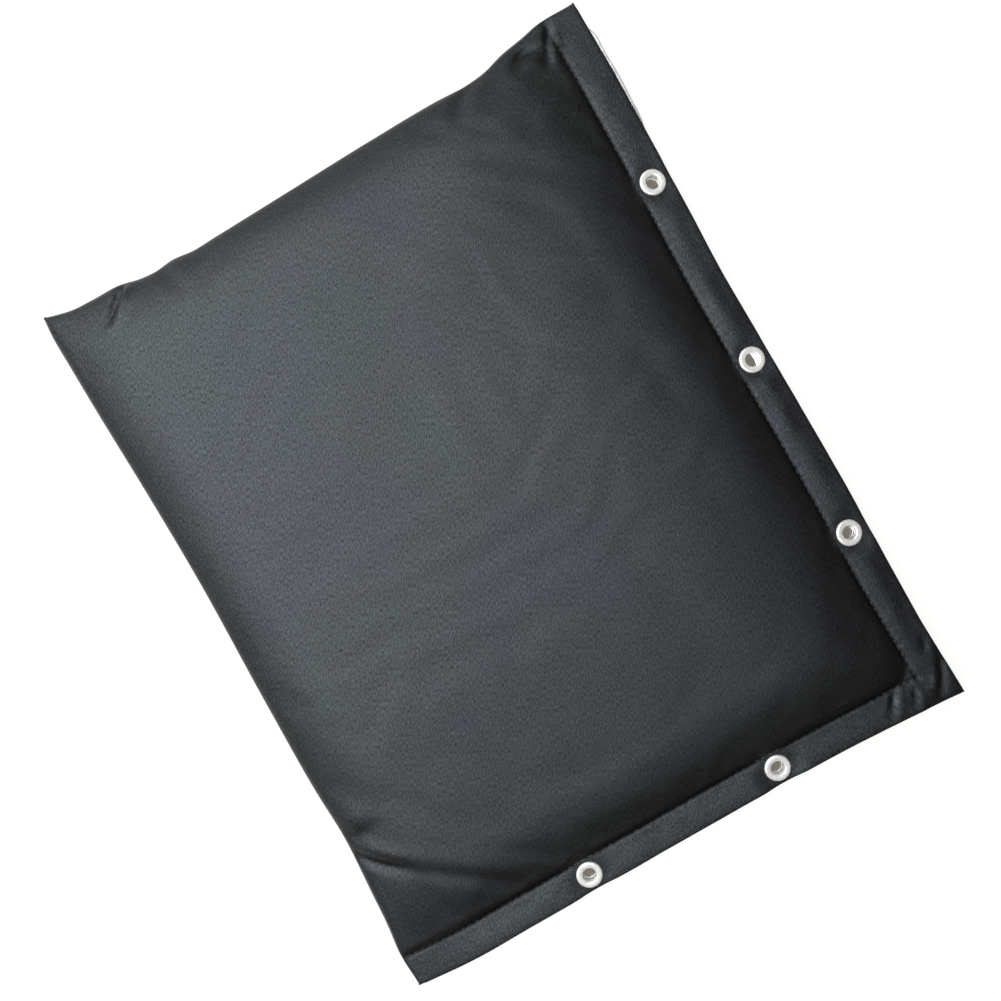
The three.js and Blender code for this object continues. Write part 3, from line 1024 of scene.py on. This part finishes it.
def front_inside(x, y):
    """The front lining's face towards the cavity."""
    return front_lining_height(x, y) - LINING_THICKNESS


front_threads = [
    topstitching(
        "front", edge, row, front_height, front_inside, 1,
        [f"front_{edge}_topstitch_sewn_end", f"front_{edge}_topstitch_free"],
    )
    for edge, row in (("side", side_row), ("near", near_row))
]
back_threads = [
    topstitching("back", edge, row, back_height, back_lining_height, -1, [f"back_{edge}_topstitch"])
    for edge, row in (("side", side_row), ("near", near_row))
]
seam_corner = (SEAM_INSET - HALF_WIDTH, HALF_LENGTH - SEAM_INSET)
seam_rows = [
    stitch_row((seam_corner[0], -HALF_LENGTH + 2), seam_corner),
    stitch_row(seam_corner, (HALF_WIDTH - 2, seam_corner[1])),
]
seam_thread = stitches(
    "closed_seam_stitches", [(row, lambda x, y: np.full_like(x, SEAM_Z), 1) for row in seam_rows],
    ["closed_seam_stitching"],
)

# ---- Eyelets -------------------------------------------------------------------------------------

RING_SEGMENTS = 64


def turned(profile):
    """A closed ring from (radius, height) points about +Z."""
    points = []
    faces = []
    count = len(profile)
    for i in range(RING_SEGMENTS):
        a = 2 * math.pi * i / RING_SEGMENTS
        points += [(r * math.cos(a), r * math.sin(a), z) for r, z in profile]
        for j in range(count):
            k, m = (j + 1) % count, (i + 1) % RING_SEGMENTS
            faces.append((i * count + j, i * count + k, m * count + k, m * count + j))
    return points, faces


def arc(cx, cz, radius, start, end, count):
    angles = np.radians(np.linspace(start, end, count))
    return [(cx + radius * math.cos(a), cz + radius * math.sin(a)) for a in angles]


# Sections of a ring as (radius, height above the plane it presses the cloth to).
EYELET_PROFILE = (
    [(7.6, 0.12)]
    + arc(6.55, 0.2, 1.03, 10, 80, 7)
    + [(6.1, 1.27), (5.5, 1.22)]
    + arc(4.9, 0.3, 0.9, 80, 178, 8)
    + [(4.0, -2.4)]
    + arc(4.75, -2.75, 0.72, 185, 350, 9)
    + [(5.3, -2.72), (4.8, -2.6), (4.35, -2.3), (4.3, 0.1), (4.9, 0.35), (6.4, 0.55), (7.2, 0.1)]
)
WASHER_PROFILE = [
    (4.55, -1.75), (4.5, -2.1), (4.8, -2.35), (6.4, -2.5), (7.1, -2.35), (7.25, -2.0), (7.15, -1.8),
    (6.3, -1.95), (5.2, -1.9),
]


def place_ring(piece, panel, centre):
    """Moves a ring to its eyelet, tilted with the flange and face down under the back panel."""
    slope = flange_tilt(centre)
    turn = Matrix.Rotation(math.atan(slope[0]), 4, "Y")
    turn = turn @ Matrix.Rotation(math.atan(-slope[1]), 4, "X")
    level = (FRONT_FLANGE_Z if panel == "front" else BACK_FLANGE_Z) - RING_DROP
    if panel == "back":
        turn = turn @ Matrix.Rotation(math.pi, 4, "X")
    where = Vector((centre[0], centre[1], level)) * MM
    piece.data.transform(Matrix.Translation(where) @ turn)


for panel in ("front", "back"):
    body = "front_corner" if panel == "front" else "pouch"
    for i, centre in zip(EYELETS, EYELET_PLANS):
        for part, profile in (("eyelet", EYELET_PROFILE), ("washer", WASHER_PROFILE)):
            piece = mesh_object(f"{panel}_{part}_ring_{i}", *turned(profile))
            place_ring(piece, panel, centre)
            piece.data.materials.append(NICKEL)
            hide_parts(f"{panel}_{part}_{i}")
            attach(piece, body)

# ---- Riding --------------------------------------------------------------------------------------

for piece in (front_cloth, front_lining, front_wadding, *front_threads):
    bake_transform(piece)
for piece in (back_cloth, back_lining, back_wadding, seam_thread, *back_threads):
    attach(piece, "pouch")

# ---- Stage, lights and camera, in metres ---------------------------------------------------------

FLOOR_REACH = 6.0
# The rectangle of painted shade on the floor under the pouch, as its middle and half sizes.
PAINTED_SHADE_MIDDLE = (0.003, -0.013)
PAINTED_SHADE_HALF = (0.169, 0.208)


def make_floor():
    """A lit white ground, with painted shade where the pouch covers it: its emission turns a dark
    brownish grey there.
    """
    mesh = bpy.data.meshes.new("floor")
    r = FLOOR_REACH
    mesh.from_pydata([(-r, -r, 0), (r, -r, 0), (r, r, 0), (-r, r, 0)], [], [(0, 1, 2, 3)])
    floor = bpy.data.objects.new("floor", mesh)
    bpy.context.scene.collection.objects.link(floor)
    material, shader = new_material("floor")
    shader.inputs["Base Color"].default_value = (0.12, 0.12, 0.12, 1)
    shader.inputs["Roughness"].default_value = 0.9
    shader.inputs["Specular IOR Level"].default_value = 0.1
    place = place_of(material)
    split = add_node(material, "ShaderNodeSeparateXYZ")
    link(material, place, split.inputs[0])
    across, along = (
        maths(material, "COMPARE", split.outputs[axis], PAINTED_SHADE_MIDDLE[axis], PAINTED_SHADE_HALF[axis])
        for axis in (0, 1)
    )
    shade = maths(material, "MULTIPLY", across, along)
    # Painted shade: the floor's emission is a dark brownish grey inside the rectangle under the
    # pouch, and white outside it.
    glow = ramp(material, shade, [(0.0, (1.0, 1.0, 0.985)), (1.0, (0.17, 0.15, 0.125))])
    link(material, glow, shader.inputs["Emission Color"])
    shader.inputs["Emission Strength"].default_value = 0.9
    floor.data.materials.append(material)


def area_light(name, where, size, power, turn):
    """A rectangular lamp that faces straight down, turned about the vertical."""
    data = bpy.data.lights.new(name, "AREA")
    data.shape = "RECTANGLE"
    data.size, data.size_y = size
    data.energy = power
    lamp = bpy.data.objects.new(name, data)
    lamp.location = where
    lamp.rotation_euler = (0, 0, math.radians(turn))
    bpy.context.scene.collection.objects.link(lamp)


CAMERA_HEIGHT = 0.7
CAMERA_OVER = (-0.00075, -0.0042)
CAMERA_ROLL = math.radians(-28.72)
LENS = 43.3


def make_camera():
    data = bpy.data.cameras.new("camera")
    data.lens = LENS
    data.sensor_width = 36
    camera = bpy.data.objects.new("camera", data)
    camera.location = (*CAMERA_OVER, CAMERA_HEIGHT)
    camera.rotation_euler = (0, 0, CAMERA_ROLL)
    bpy.context.scene.collection.objects.link(camera)
    bpy.context.scene.camera = camera


def make_world(colour, strength):
    world = bpy.data.worlds.new("world")
    world.use_nodes = True
    background = world.node_tree.nodes["Background"]
    background.inputs["Color"].default_value = (*colour, 1)
    background.inputs["Strength"].default_value = strength
    bpy.context.scene.world = world


make_floor()
make_camera()
area_light("key", (-0.585, 0.66, 0.95), (1.67, 2.13), 49, -6)
make_world((1.0, 0.86, 0.78), 0.018)
bpy.context.scene.view_settings.view_transform = "Standard"
